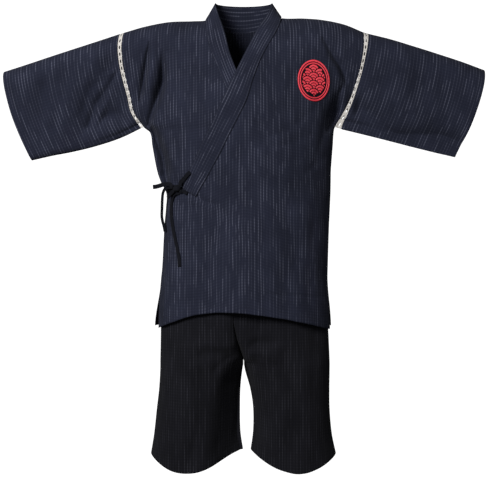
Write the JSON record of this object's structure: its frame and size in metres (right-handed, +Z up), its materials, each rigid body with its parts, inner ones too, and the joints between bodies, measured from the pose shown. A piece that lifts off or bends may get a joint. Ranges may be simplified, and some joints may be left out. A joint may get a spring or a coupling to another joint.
{
  "type": "jinbei set",
  "caption": "Worn jinbei set in striped cotton: short wrap jacket with lace-joined sleeves, tie at the waist and stitched roundel, with knee-length shorts.",
  "frame": {"origin": "the middle of the neck, level with the inner ends of the shoulder lines", "axes": "+X towards the wearer's left cuff, -Y the way the wearer faces, +Z up out of the collar"},
  "size_m": [1.0508, 0.2221, 1.0216],
  "materials": {
    "navy_cotton": "matt woven cotton, indigo with broken pale stripes",
    "dark_cotton": "matt woven cotton, blue-black with faint broken stripes",
    "tie_cotton": "matt cotton strap, blue-black",
    "cream_lace": "cotton insertion lace, cream",
    "red_stitching": "satin stitch embroidery, red on the navy ground"
  },
  "bodies": {
    "root": {"jacket_back": "navy_cotton", "jacket_front_left": "navy_cotton", "jacket_front_right": "navy_cotton", "collar": "navy_cotton", "sleeve_left": "navy_cotton", "sleeve_right": "navy_cotton", "lace_left_front": "cream_lace", "lace_left_back": "cream_lace", "lace_right_front": "cream_lace", "lace_right_back": "cream_lace", "shorts_left_front": "dark_cotton", "shorts_left_back": "dark_cotton", "shorts_right_front": "dark_cotton", "shorts_right_back": "dark_cotton", "shorts_waistband": "dark_cotton", "tie_knot": "tie_cotton", "tie_loop": "tie_cotton", "tie_strap_front": "tie_cotton", "tie_strap_side": "tie_cotton", "tie_end_short": "tie_cotton", "tie_end_side": "tie_cotton", "tie_end_thin": "tie_cotton", "tie_end_long": "tie_cotton", "roundel": "red_stitching"}
  },
  "joints": []
}
